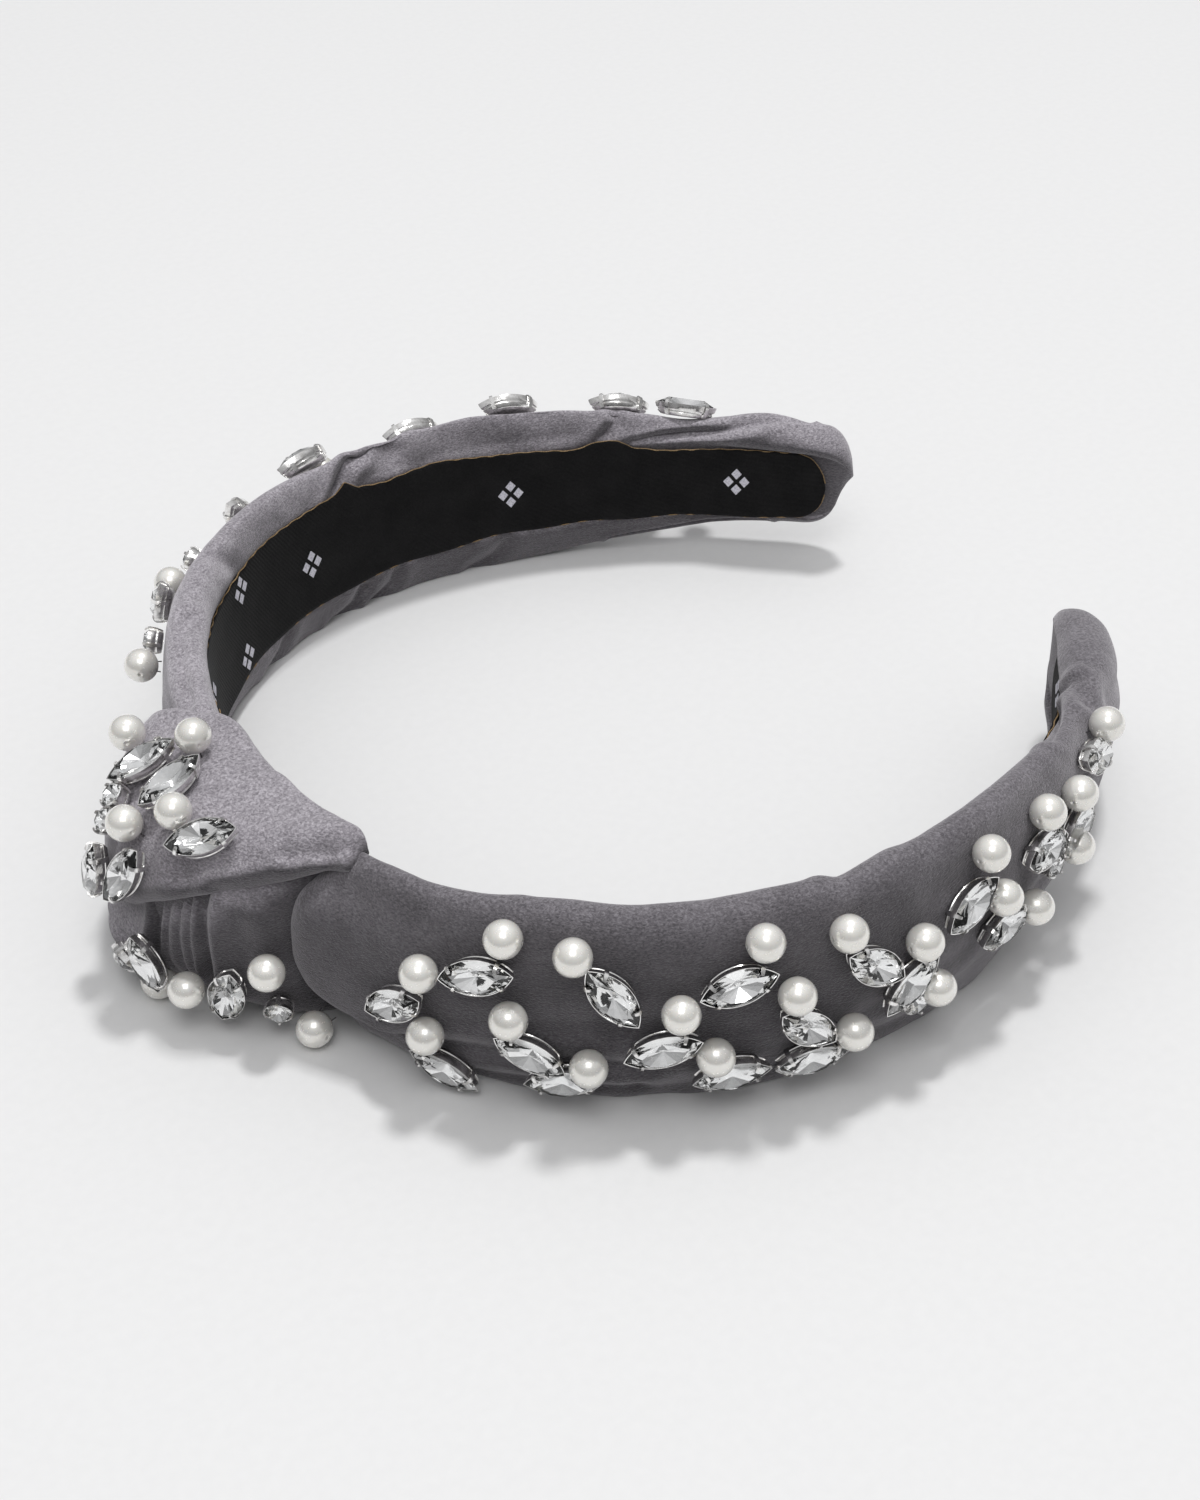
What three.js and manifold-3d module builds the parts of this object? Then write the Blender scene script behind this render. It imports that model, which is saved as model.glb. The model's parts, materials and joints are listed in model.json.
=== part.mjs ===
// A knotted velvet headband with sewn-on pearls and claw-set crystals, in millimetres.
// It lies on its lower edge with +Z up. The knot is toward -X and the two tips toward +X,
// the front arm is on the -Y side and the back arm on the +Y side.
// "along" runs over the lining from the middle of the crown, positive on the front arm and
// negative on the back arm. "across" is the band's width, upward. "out" is away from the head.
import * as THREE from 'three';
import { mergeVertices } from 'three/addons/utils/BufferGeometryUtils.js';
import Module from 'manifold-3d';

const wasm = await Module();
wasm.setup();

// The spring band's plan: how it bends, and where it may flex.
const ARM_LENGTH = 200.5;
const BEND = [0.0081, 0.0167, 0.0146, 0.0087, 0.0104]; // per mm, at the crown, each quarter, the tip
const BEND_SKEW = 0.04; // the front tip bends this share more, and the back tip this share less
const FRONT_FLEX = 29; // along, where the front arm leaves the knot
const BACK_FLEX = -20; // along, where the back arm leaves the knot
const FLEX_GAP = 1.4; // free space at a flex line, so that an arm can swing about it

// The cross-section at the crown, and how it changes toward the tips.
const HALF_WIDTH = 17.3;
const CROWN_HALF_WIDTH = 16; // the sleeve is gathered where the knot wraps it
const TIP_HALF_WIDTH = 9.3;
const TAPER_FROM = 125;
const LINING_HALF_WIDTH = 12.8;
const LINING_TIP_HALF_WIDTH = 7.4;
const TIP_THINNING = 0.88;
const FRONT_TIP_RISE = 2.2;
const BACK_TIP_RISE = -0.5;
const SLEEVE_MIDDLE = 3.5; // out, at the sleeve's widest place
const SLEEVE_OUTWARD = 5.2;
const SLEEVE_INWARD = 4.3;
const ROUNDNESS = 1 / 1.2; // exponent of the section's curve: 1 is an ellipse, 0 a box
const EDGE_ANGLE = 12; // degrees each side of an edge that its flat takes up

// The layers, from the head outward.
const GAP = 0.4;
const LINING_THICKNESS = 0.8;
const CORE_THICKNESS = 1.4;
const PAD_THICKNESS = 2.6;
const SLEEVE_PAST_ARM = 2;
const LAYERS_SHORT_OF_TIP = 4;
const TIP_ROUNDING = 9;

// The knot: a bulge round the crown, parted by a slanting fold.
const KNOT_REACH = 27;
const KNOT_RISE = 0.5;
const KNOT_HALF_HEIGHT = HALF_WIDTH + KNOT_RISE; // so that the knot and the sleeves rest together
const KNOT_INNER = 1.5;
// Each half's bulge at its middle and its ends, where along its middle is, and its roundness.
const OVER_FOLD = { bulge: 27, end: 12, middle: 2, roundness: 0.87 };
const UNDER_LOOP = { bulge: 27, end: 11, middle: -1.5, roundness: 0.58 };
const FOLD_TILT = 28.6;
const FOLD_POINT = new THREE.Vector3(0, -3, -1);

// The jewels.
const PEARL_RADIUS = 3;
const PEARL_LIFT = 3.5; // from the velvet to a pearl's centre
const STONE_LENGTH = 12;
const STONE_WIDTH = 6;
const STONE_HEIGHT = 4.2;
const STONE_LIFT = 0.7; // from the velvet to the claw cup's base

// Each motif is a stone [along, round, turn] and its pearl [along, round]. Round is the angle over
// the sleeve from its top edge, so 90 faces straight out. Turn is the stone's slant, in degrees.
const FRONT_MOTIFS = [
  { stone: [41.5, 93, 33], pearl: [46, 68] },
  { stone: [53.5, 61, 17], pearl: [57, 30] },
  { stone: [48, 135, -29], pearl: [46.5, 103] },
  { stone: [60.5, 102, -29], pearl: [58, 83] },
  { stone: [71, 63, -50], pearl: [66, 35] },
  { stone: [77.5, 95, 17], pearl: [79.5, 73] },
  { stone: [86.5, 121, 6], pearl: [84, 100] },
  { stone: [87, 59, 14], pearl: [90.5, 31] },
  { stone: [97.5, 124, -2], pearl: [103, 106] },
  { stone: [106, 69, -36], pearl: [102, 37] },
  { stone: [112, 91, 41], pearl: [113.5, 64] },
  { stone: [123, 58, 22], pearl: [127, 30] },
  { stone: [140.5, 62, -6], pearl: [141, 33] },
  { stone: [150.5, 76, 13], pearl: [151, 43] },
];
const BACK_MOTIFS = [
  { stone: [-54, 52, 60], pearl: [-40, 63] },
  { stone: [-81, 47, 50], pearl: [-86, 80] },
  { stone: [-118, 38, 5], pearl: [-122, 68] },
];
const KNOT_MOTIFS = [
  { stone: [1.8, 29, -83], pearl: [-3.4, 14] },
  { stone: [13, 38, 38], pearl: [7.3, 36] },
  { stone: [5.6, 70, 67], pearl: [2.3, 52] },
  { stone: [-5.4, 34, 88], pearl: [-12, 37] },
  { stone: [7.6, 103, -78], pearl: [13.2, 107] },
  { stone: [17.6, 107, 76], pearl: [22.2, 92] },
];

const VELVET = { color: 0x5c5860, roughness: 0.95, metalness: 0 };
const LINING = { color: 0x141414, roughness: 0.9, metalness: 0 };
const FOAM = { color: 0xd8d2c4, roughness: 0.9, metalness: 0 };
const PLASTIC = { color: 0x2a2a2c, roughness: 0.4, metalness: 0 };
const PEARL = { color: 0xe9e2d3, roughness: 0.25, metalness: 0 };
const CRYSTAL = { color: 0xdfe6ea, roughness: 0.05, metalness: 0 };

const radians = THREE.MathUtils.degToRad;
const lerp = THREE.MathUtils.lerp;

// The lining's line in plan, integrated from its bend. Each sample holds its place and heading.
const LINE_STEPS = 400;
const LINE_STEP = ARM_LENGTH / LINE_STEPS;

function bendAt(along) {
  const share = Math.abs(along) / ARM_LENGTH;
  const quarter = Math.min(Math.floor(share * 4), 3);
  const bend = lerp(BEND[quarter], BEND[quarter + 1], share * 4 - quarter);
  return bend * (1 + BEND_SKEW * along / ARM_LENGTH);
}

function armLine(side) {
  const samples = [{ x: 0, y: 0, heading: 0 }];
  for (let i = 0; i < LINE_STEPS; i++) {
    const { x, y, heading } = samples[i];
    const turn = side * bendAt(side * (i + 0.5) * LINE_STEP) * LINE_STEP;
    const middle = heading + turn / 2;
    const step = side * LINE_STEP;
    samples.push({ x: x + Math.sin(middle) * step, y: y - Math.cos(middle) * step, heading: heading + turn });
  }
  return samples;
}

const FRONT_LINE = armLine(1);
const BACK_LINE = armLine(-1);

// The place at a distance along the lining, past its end on a straight line, and pushed outward.
function bandPoint(along, across, out) {
  const line = along < 0 ? BACK_LINE : FRONT_LINE;
  const place = Math.abs(along) / LINE_STEP;
  const index = Math.min(Math.floor(place), LINE_STEPS - 1);
  const a = line[index];
  const b = line[index + 1];
  const share = place - index;
  const heading = lerp(a.heading, b.heading, Math.min(share, 1));
  return new THREE.Vector3(
    lerp(a.x, b.x, share) - Math.cos(heading) * out,
    lerp(a.y, b.y, share) - Math.sin(heading) * out,
    across,
  );
}

function taper(along) {
  return THREE.MathUtils.smoothstep(Math.abs(along), TAPER_FROM, ARM_LENGTH);
}

// From 1 to nearly 0 over the last stretch of the sleeve, as a quarter circle.
function tipRound(along) {
  const into = Math.abs(along) - (ARM_LENGTH + SLEEVE_PAST_ARM - TIP_ROUNDING);
  const share = THREE.MathUtils.clamp(into / (TIP_ROUNDING + 1), 0, 1);
  return Math.sqrt(1 - share * share);
}

// Sections are drawn as they are on the arm nearest the crown. This carries a point of one to its
// place along the band: the lining's width and the sleeve's narrow by different amounts.
function sleevePoint(along, across, out, halfWidth = HALF_WIDTH, rounding = 1) {
  const share = taper(along);
  const lining = lerp(LINING_HALF_WIDTH, LINING_TIP_HALF_WIDTH, Math.abs(along) / ARM_LENGTH);
  const outer = lerp(halfWidth, TIP_HALF_WIDTH, share);
  const size = Math.abs(across);
  const width = size < LINING_HALF_WIDTH
    ? size / LINING_HALF_WIDTH * lining
    : lerp(lining, outer, (size - LINING_HALF_WIDTH) / (HALF_WIDTH - LINING_HALF_WIDTH));
  const thinning = lerp(1, TIP_THINNING, share) * rounding;
  const rise = share * (along > 0 ? FRONT_TIP_RISE : BACK_TIP_RISE);
  return bandPoint(
    along,
    Math.sign(across) * width * rounding + rise,
    SLEEVE_MIDDLE + (out - SLEEVE_MIDDLE) * thinning,
  );
}

function knotBulge(along, half) {
  const share = (along - half.middle) / KNOT_REACH;
  return lerp(half.end, half.bulge, Math.max(0, 1 - share * share));
}

// A point of one half of the knot, whose sections are drawn one unit high and one unit out.
function knotPoint(along, across, out, half) {
  const height = KNOT_RISE + across * KNOT_HALF_HEIGHT;
  return bandPoint(along, height, lerp(KNOT_INNER, knotBulge(along, half), out));
}

function signedPower(value, exponent) {
  return Math.sign(value) * Math.abs(value) ** exponent;
}

// One unit high between its two flat edges, and about one unit deep.
function roundedEdge(round, exponent) {
  const flat = Math.cos(radians(EDGE_ANGLE)) ** exponent;
  return new THREE.Vector2(
    signedPower(Math.cos(radians(round)), exponent) / flat,
    signedPower(Math.sin(radians(round)), exponent),
  );
}

// Sections, as outlines of (across, out).
function sleeveEdge(round) {
  const edge = roundedEdge(round, ROUNDNESS);
  const depth = edge.y > 0 ? SLEEVE_OUTWARD : SLEEVE_INWARD;
  return new THREE.Vector2(edge.x * HALF_WIDTH, SLEEVE_MIDDLE + edge.y * depth);
}

function sleeveOutline() {
  const outline = [];
  for (let round = EDGE_ANGLE; round <= 180 - EDGE_ANGLE; round += 26) {
    outline.push(sleeveEdge(round));
  }
  for (let round = 180 + EDGE_ANGLE; round <= 360 - EDGE_ANGLE; round += 39) {
    outline.push(sleeveEdge(round));
  }
  return outline;
}

function knotOutline(roundness) {
  const outline = [];
  for (let round = EDGE_ANGLE; round <= 180 - EDGE_ANGLE; round += 13) {
    outline.push(roundedEdge(round, roundness));
  }
  outline.push(new THREE.Vector2(-1, 0), new THREE.Vector2(1, 0));
  return outline;
}

function stripOutline(halfWidth, inner, outer) {
  return [[-halfWidth, inner], [halfWidth, inner], [halfWidth, outer], [-halfWidth, outer]]
    .map(([across, out]) => new THREE.Vector2(across, out));
}

// Sweeps an outline along the band. place(along, across, out) says where each point goes.
function sweep(outline, start, end, steps, place) {
  const settings = { depth: end - start, steps, bevelEnabled: false };
  const geometry = new THREE.ExtrudeGeometry(new THREE.Shape(outline), settings);
  const position = geometry.attributes.position;
  for (let i = 0; i < position.count; i++) {
    const point = place(start + position.getZ(i), position.getX(i), position.getY(i));
    position.setXYZ(i, point.x, point.y, point.z);
  }
  return geometry;
}

// A geometry as a solid that can be cut and joined, and back again.
function toSolid(geometry) {
  const bare = geometry.clone();
  bare.deleteAttribute('normal');
  bare.deleteAttribute('uv');
  const merged = mergeVertices(bare, 1e-5);
  return new wasm.Manifold(new wasm.Mesh({
    numProp: 3,
    vertProperties: new Float32Array(merged.attributes.position.array),
    triVerts: new Uint32Array(merged.index.array),
  }));
}

function toGeometry(solid) {
  const mesh = solid.getMesh();
  const geometry = new THREE.BufferGeometry();
  geometry.setAttribute('position', new THREE.BufferAttribute(mesh.vertProperties, 3));
  geometry.setIndex(new THREE.BufferAttribute(mesh.triVerts, 1));
  geometry.computeVertexNormals();
  return geometry;
}

function addMesh(parent, name, geometry, look) {
  const mesh = new THREE.Mesh(geometry, new THREE.MeshStandardMaterial(look));
  mesh.name = name;
  parent.add(mesh);
  return mesh;
}

// Lining, core strip and foam pad, each a strip between two places along the band.
const LINING_OUT = [0, LINING_THICKNESS];
const CORE_OUT = [LINING_OUT[1] + GAP, LINING_OUT[1] + GAP + CORE_THICKNESS];
const PAD_OUT = [CORE_OUT[1] + GAP, CORE_OUT[1] + GAP + PAD_THICKNESS];
const STRIP_HALF_WIDTH = LINING_HALF_WIDTH - GAP;
const ARM_STEPS = 22;
const CROWN_STEPS = 6;

function addLayers(parent, name, start, end, steps) {
  const lay = (halfWidth, [inner, outer]) =>
    sweep(stripOutline(halfWidth, inner, outer), start, end, steps, sleevePoint);
  addMesh(parent, `lining_${name}`, lay(LINING_HALF_WIDTH, LINING_OUT), LINING);
  addMesh(parent, `core_${name}`, lay(STRIP_HALF_WIDTH, CORE_OUT), PLASTIC);
  addMesh(parent, `pad_${name}`, lay(STRIP_HALF_WIDTH, PAD_OUT), FOAM);
}

// The velvet sleeve: its outer body, less the channel that the layers lie in.
function sleeveGeometry(start, end, channelStart, channelEnd, steps, halfWidth) {
  const place = (along, across, out) => sleevePoint(along, across, out, halfWidth, tipRound(along));
  const body = toSolid(sweep(sleeveOutline(), start, end, steps, place));
  const channelHalf = LINING_HALF_WIDTH + GAP;
  const channel = stripOutline(channelHalf, -SLEEVE_INWARD, PAD_OUT[1] + GAP);
  const room = toSolid(sweep(channel, channelStart, channelEnd, steps, sleevePoint));
  return toGeometry(body.subtract(room));
}

// One half's solid before the fold parts them, less the room that the gathered sleeve takes.
function knotSolid(half) {
  const start = BACK_FLEX + FLEX_GAP / 2;
  const end = FRONT_FLEX - FLEX_GAP / 2;
  const place = (along, across, out) => knotPoint(along, across, out, half);
  const body = toSolid(sweep(knotOutline(half.roundness), start, end, 10, place));
  const roomHalf = CROWN_HALF_WIDTH + GAP;
  const room = stripOutline(HALF_WIDTH, -SLEEVE_INWARD, SLEEVE_MIDDLE + SLEEVE_OUTWARD + GAP);
  const wide = (along, across, out) => sleevePoint(along, across, out, roomHalf);
  return body.subtract(toSolid(sweep(room, start - 1, end + 1, 12, wide)));
}

// A block that fills one side of the knot's fold: side is 1 above it and -1 below.
function foldSide(side) {
  const size = 160;
  const block = new THREE.BoxGeometry(size, size, size);
  block.translate(0, 0, side * (size + GAP) / 2);
  block.rotateX(-radians(FOLD_TILT));
  block.translate(FOLD_POINT.x, FOLD_POINT.y, FOLD_POINT.z);
  return toSolid(block);
}

// A pointed oval stone in its claw cup: narrow at the base, widest at the girdle, flat on top.
function stoneGeometry() {
  const radius = (STONE_LENGTH ** 2 + STONE_WIDTH ** 2) / (4 * STONE_WIDTH);
  const half = Math.asin(STONE_LENGTH / 2 / radius);
  const centre = radius - STONE_WIDTH / 2;
  const outline = new THREE.Shape();
  outline.absarc(0, -centre, radius, Math.PI / 2 - half, Math.PI / 2 + half, false);
  outline.absarc(0, centre, radius, -Math.PI / 2 - half, -Math.PI / 2 + half, false);
  const settings = { depth: STONE_HEIGHT, steps: 2, curveSegments: 4, bevelEnabled: false };
  const geometry = new THREE.ExtrudeGeometry(outline, settings);
  const position = geometry.attributes.position;
  const scales = [0.8, 1, 0.55];
  for (let i = 0; i < position.count; i++) {
    const scale = scales[Math.round(position.getZ(i) / STONE_HEIGHT * 2)];
    position.setXY(i, position.getX(i) * scale, position.getY(i) * scale);
  }
  return geometry;
}

// Where a jewel sits on a surface, and the surface's directions there.
function seat(surface, along, round, lift) {
  const small = 0.01;
  const point = surface(along, round);
  const onward = surface(along + small, round).sub(point).normalize();
  const upward = surface(along, round - small).sub(point).normalize();
  const normal = new THREE.Vector3().crossVectors(onward, upward).normalize();
  upward.crossVectors(normal, onward);
  return { point: point.addScaledVector(normal, lift), onward, upward, normal };
}

function sleeveSurface(along, round) {
  const edge = sleeveEdge(round);
  return sleevePoint(along, edge.x, edge.y);
}

function knotSurface(along, round) {
  const half = round > 90 ? UNDER_LOOP : OVER_FOLD;
  const edge = roundedEdge(round, half.roundness);
  return knotPoint(along, edge.x, edge.y, half);
}

function addMotifs(parent, name, motifs, surface) {
  motifs.forEach(({ stone, pearl }, index) => {
    const number = String(index + 1).padStart(2, '0');
    const base = seat(surface, stone[0], stone[1], STONE_LIFT);
    const turn = radians(stone[2]);
    const long = base.onward.clone().multiplyScalar(Math.cos(turn));
    long.addScaledVector(base.upward, Math.sin(turn));
    const wide = new THREE.Vector3().crossVectors(base.normal, long);
    const set = addMesh(parent, `stone_${name}_${number}`, stoneGeometry(), CRYSTAL);
    set.setRotationFromMatrix(new THREE.Matrix4().makeBasis(long, wide, base.normal));
    set.position.copy(base.point);
    const ball = new THREE.SphereGeometry(PEARL_RADIUS, 10, 7);
    const bead = addMesh(parent, `pearl_${name}_${number}`, ball, PEARL);
    bead.position.copy(seat(surface, pearl[0], pearl[1], PEARL_LIFT).point);
  });
}

function crown() {
  const group = new THREE.Group();
  const start = BACK_FLEX + FLEX_GAP / 2;
  const end = FRONT_FLEX - FLEX_GAP / 2;
  addLayers(group, 'crown', start, end, CROWN_STEPS);
  const sleeve = sleeveGeometry(start, end, start - 1, end + 1, CROWN_STEPS, CROWN_HALF_WIDTH);
  addMesh(group, 'sleeve_crown', sleeve, VELVET);
  const over = knotSolid(OVER_FOLD).intersect(foldSide(1));
  addMesh(group, 'knot_over_fold', toGeometry(over), VELVET);
  const under = knotSolid(UNDER_LOOP).intersect(foldSide(-1));
  addMesh(group, 'knot_under_loop', toGeometry(under), VELVET);
  addMotifs(group, 'knot', KNOT_MOTIFS, knotSurface);
  return group;
}

function arm(name, side, flex, motifs) {
  const group = new THREE.Group();
  const root = Math.abs(flex) + FLEX_GAP / 2;
  const sleeveTip = ARM_LENGTH + SLEEVE_PAST_ARM;
  const layerTip = ARM_LENGTH - LAYERS_SHORT_OF_TIP;
  const span = (near, far) => (side > 0 ? [near, far] : [-far, -near]);
  addLayers(group, name, ...span(root, layerTip), ARM_STEPS);
  const sleeve = sleeveGeometry(...span(root, sleeveTip), ...span(root - 1, layerTip + GAP), ARM_STEPS);
  addMesh(group, `sleeve_${name}`, sleeve, VELVET);
  addMotifs(group, name, motifs, sleeveSurface);
  return group;
}

const headband = new THREE.Group();
headband.add(crown());
headband.add(arm('front', 1, FRONT_FLEX, FRONT_MOTIFS));
headband.add(arm('back', -1, BACK_FLEX, BACK_MOTIFS));

// The origin is under the middle of the whole headband, on the surface it lies on.
headband.updateMatrixWorld(true);
const bounds = new THREE.Box3().setFromObject(headband, true);
const middle = bounds.getCenter(new THREE.Vector3());
headband.position.set(-middle.x, -middle.y, -bounds.min.z);
headband.updateMatrixWorld(true);

export default headband;
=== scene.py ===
import json
import math

import bpy
import numpy as np
from mathutils import Matrix, Vector, noise


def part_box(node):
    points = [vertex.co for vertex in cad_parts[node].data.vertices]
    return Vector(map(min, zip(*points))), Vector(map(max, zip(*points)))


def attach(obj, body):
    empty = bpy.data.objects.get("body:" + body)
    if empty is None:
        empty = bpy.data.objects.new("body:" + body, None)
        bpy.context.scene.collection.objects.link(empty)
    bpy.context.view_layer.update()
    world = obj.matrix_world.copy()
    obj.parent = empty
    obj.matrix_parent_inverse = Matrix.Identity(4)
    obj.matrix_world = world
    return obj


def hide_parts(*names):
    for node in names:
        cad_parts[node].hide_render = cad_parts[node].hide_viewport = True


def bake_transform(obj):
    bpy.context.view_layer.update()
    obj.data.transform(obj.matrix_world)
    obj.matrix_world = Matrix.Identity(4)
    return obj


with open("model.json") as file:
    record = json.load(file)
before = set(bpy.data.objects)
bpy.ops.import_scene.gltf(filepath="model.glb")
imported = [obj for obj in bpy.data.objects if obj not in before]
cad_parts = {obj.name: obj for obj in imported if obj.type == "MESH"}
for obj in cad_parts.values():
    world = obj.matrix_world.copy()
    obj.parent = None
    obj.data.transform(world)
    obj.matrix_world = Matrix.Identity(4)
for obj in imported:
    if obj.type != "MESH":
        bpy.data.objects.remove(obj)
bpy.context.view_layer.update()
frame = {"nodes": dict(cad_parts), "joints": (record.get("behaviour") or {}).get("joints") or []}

MM = 0.001

# The band's plan and section, as the CAD part has them.
ARM_LENGTH = 200.5
BEND = (0.0081, 0.0167, 0.0146, 0.0087, 0.0104)  # per mm, at the crown, each quarter, the tip
BEND_SKEW = 0.04
FRONT_FLEX = 29
BACK_FLEX = -20
HINGE_OUT = 4
HALF_WIDTH = 17.3
CROWN_HALF_WIDTH = 15
TIP_HALF_WIDTH = 9.3
TAPER_FROM = 125
LINING_HALF_WIDTH = 12.8
LINING_TIP_HALF_WIDTH = 7.4
TIP_THINNING = 0.88
FRONT_TIP_RISE = 2.2
BACK_TIP_RISE = -0.5
SLEEVE_MIDDLE = 3.5
SLEEVE_OUTWARD = 5.2
SLEEVE_INWARD = 4.3
ROUNDNESS = 1 / 1.2
EDGE_ANGLE = 12
SLEEVE_PAST_ARM = 2
FRONT_CURL = 3.2  # how far the front tip turns in past the CAD part's line
FRONT_CURL_FROM = 166

# The knot. Each half's bulge at its middle and at its ends, its middle along, and its roundness.
OVER_FOLD = (27, 12, 2, 0.87)
UNDER_LOOP = (27, 11, -1.5, 0.58)
KNOT_REACH = 27
UNDER_DIVE = (21.5, 27, 5.0)  # from along, to along, and how deep
KNOT_RISE = 0.5
KNOT_HALF_HEIGHT = HALF_WIDTH + KNOT_RISE
KNOT_INNER = 1.5
KNOT_WRAP = 3.4  # how far the knot's velvet turns in round the rims

# The jewels.
PEARL_RADIUS = 3
PEARL_LIFT = 3.3
STONE_SIZE = (12, 6)
SMALL_STONE_SIZE = (4.4, 4.4)
STONE_LIFT = 0.5
THREAD_RADIUS = 0.11
THREAD_PATH = ((0.2, -0.5), (0.42, -0.78), (0.5, -0.95), (0.55, -1.15))  # in pearl radii: along, up
FLOOR_GAP = 0.1 * MM
GIRDLE = 2.3  # above a cup's base

LINE_STEPS = 400
LINE_STEP = ARM_LENGTH / LINE_STEPS


def arm_line(side):
    """Places and headings along one arm's lining, integrated from its bend."""
    share = (np.arange(LINE_STEPS) + 0.5) / LINE_STEPS
    bend = np.interp(share, np.linspace(0, 1, len(BEND)), BEND) * (1 + BEND_SKEW * side * share)
    turn = side * bend * LINE_STEP
    heading = np.concatenate([[0], np.cumsum(turn)])
    middle = heading[:-1] + turn / 2
    x = np.concatenate([[0], np.cumsum(np.sin(middle) * side * LINE_STEP)])
    y = np.concatenate([[0], np.cumsum(-np.cos(middle) * side * LINE_STEP)])
    return np.stack([x, y, heading], axis=-1)


LINES = np.stack([arm_line(1), arm_line(-1)])


def band_point(along, across, out):
    """Places at a distance along the lining, pushed outward. All three may be arrays of one shape."""
    along, across, out = np.broadcast_arrays(*(np.asarray(v, float) for v in (along, across, out)))
    place = np.abs(along) / LINE_STEP
    index = np.minimum(place.astype(int), LINE_STEPS - 1)
    share = place - index
    curl = np.maximum(0, (along - FRONT_CURL_FROM) / (ARM_LENGTH - FRONT_CURL_FROM))
    out = out - FRONT_CURL * curl ** 2
    side = (along < 0).astype(int)
    a, b = LINES[side, index], LINES[side, index + 1]
    heading = a[..., 2] + (b[..., 2] - a[..., 2]) * np.minimum(share, 1)
    x = a[..., 0] + (b[..., 0] - a[..., 0]) * share - np.cos(heading) * out
    y = a[..., 1] + (b[..., 1] - a[..., 1]) * share - np.sin(heading) * out
    return np.stack([x, y, across], axis=-1)


hinge = [joint for joint in frame["joints"] if joint["name"] == "front_arm_flex"][0]
ORIGIN = np.array(hinge["pos_m"]) / MM - band_point(FRONT_FLEX, 0, HINGE_OUT)


def to_frame(points):
    return (np.asarray(points) + ORIGIN) * MM


def arm_of(side):
    return "front" if side > 0 else "back"


def smooth(value, low, high):
    share = np.clip((np.asarray(value, float) - low) / (high - low), 0, 1)
    return share * share * (3 - 2 * share)


def between(value, rise, fall):
    """1 in a stretch of value, and 0 before its rise and after its fall."""
    return smooth(value, *rise) * (1 - smooth(value, *fall))


def hump(value, centre, width):
    return np.exp(-((value - centre) / width) ** 2)


def lerp(a, b, share):
    return a + (b - a) * share


def unit(vectors):
    return vectors / np.maximum(np.linalg.norm(vectors, axis=-1, keepdims=True), 1e-9)


def read_off(value, places):
    """The second number of a table of (first, second) places, at values of the first."""
    return np.interp(value, *np.array(places, float).T)


def signed_power(value, exponent):
    return np.sign(value) * np.abs(value) ** exponent


def rounded_edge(round_, exponent):
    flat = math.cos(math.radians(EDGE_ANGLE)) ** exponent
    angle = np.radians(round_)
    return signed_power(np.cos(angle), exponent) / flat, signed_power(np.sin(angle), exponent)


def lining_half(along):
    return lerp(LINING_HALF_WIDTH, LINING_TIP_HALF_WIDTH, np.abs(along) / ARM_LENGTH)


def tip_rise(along):
    """How far the band's middle line climbs toward each tip."""
    share = smooth(np.abs(along), TAPER_FROM, ARM_LENGTH)
    return share * np.where(along > 0, FRONT_TIP_RISE, BACK_TIP_RISE)


def sleeve_point(along, across, out, half_width=HALF_WIDTH, rounding=1.0):
    """Carries a point of the section to its place along the band, as the CAD part does."""
    along = np.asarray(along, float)
    share = smooth(np.abs(along), TAPER_FROM, ARM_LENGTH)
    lining = lining_half(along)
    outer = lerp(half_width, TIP_HALF_WIDTH, share)
    size = np.abs(across)
    inside = size / LINING_HALF_WIDTH * lining
    beyond = lerp(lining, outer, (size - LINING_HALF_WIDTH) / (HALF_WIDTH - LINING_HALF_WIDTH))
    width = np.where(size < LINING_HALF_WIDTH, inside, beyond)
    thinning = lerp(1, TIP_THINNING, share) * rounding
    out = SLEEVE_MIDDLE + (out - SLEEVE_MIDDLE) * thinning
    return band_point(along, np.sign(across) * width * rounding + tip_rise(along), out)


VELVET_BEHIND_LINING = 0.45


def sleeve_surface(along, round_, half_width=HALF_WIDTH, rounding=1.0):
    """The velvet tube: rolled rims, and flat where the lining is glued on."""
    x, y = rounded_edge(round_, ROUNDNESS)
    across = x * HALF_WIDTH
    out = SLEEVE_MIDDLE + y * np.where(y > 0, SLEEVE_OUTWARD, SLEEVE_INWARD)
    glued = (y < 0) * (1 - smooth(np.abs(across), LINING_HALF_WIDTH - 0.6, LINING_HALF_WIDTH + 1.0))
    out = lerp(out, VELVET_BEHIND_LINING, glued)
    return sleeve_point(along, across, out, half_width, rounding)


def knot_half(half, along, round_, sink=0.0):
    """The outside of one half of the knot, sink mm in from its full bulge."""
    bulge, end_bulge, middle, roundness = half
    x, y = rounded_edge(round_, roundness)
    share = (np.asarray(along, float) - middle) / KNOT_REACH
    full = lerp(end_bulge, bulge, np.maximum(0, 1 - share * share)) - sink
    out = np.where(y > 0, lerp(KNOT_INNER, full, y), KNOT_INNER + y * KNOT_WRAP)
    return band_point(along, KNOT_RISE + x * KNOT_HALF_HEIGHT, out)


def over_surface(along, round_):
    return knot_half(OVER_FOLD, along, round_)


def under_surface(along, round_):
    """The under-loop's outside, which dives under the front sleeve's end."""
    dive = smooth(along, UNDER_DIVE[0], UNDER_DIVE[1]) * UNDER_DIVE[2]
    return knot_half(UNDER_LOOP, along, round_, dive)


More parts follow.
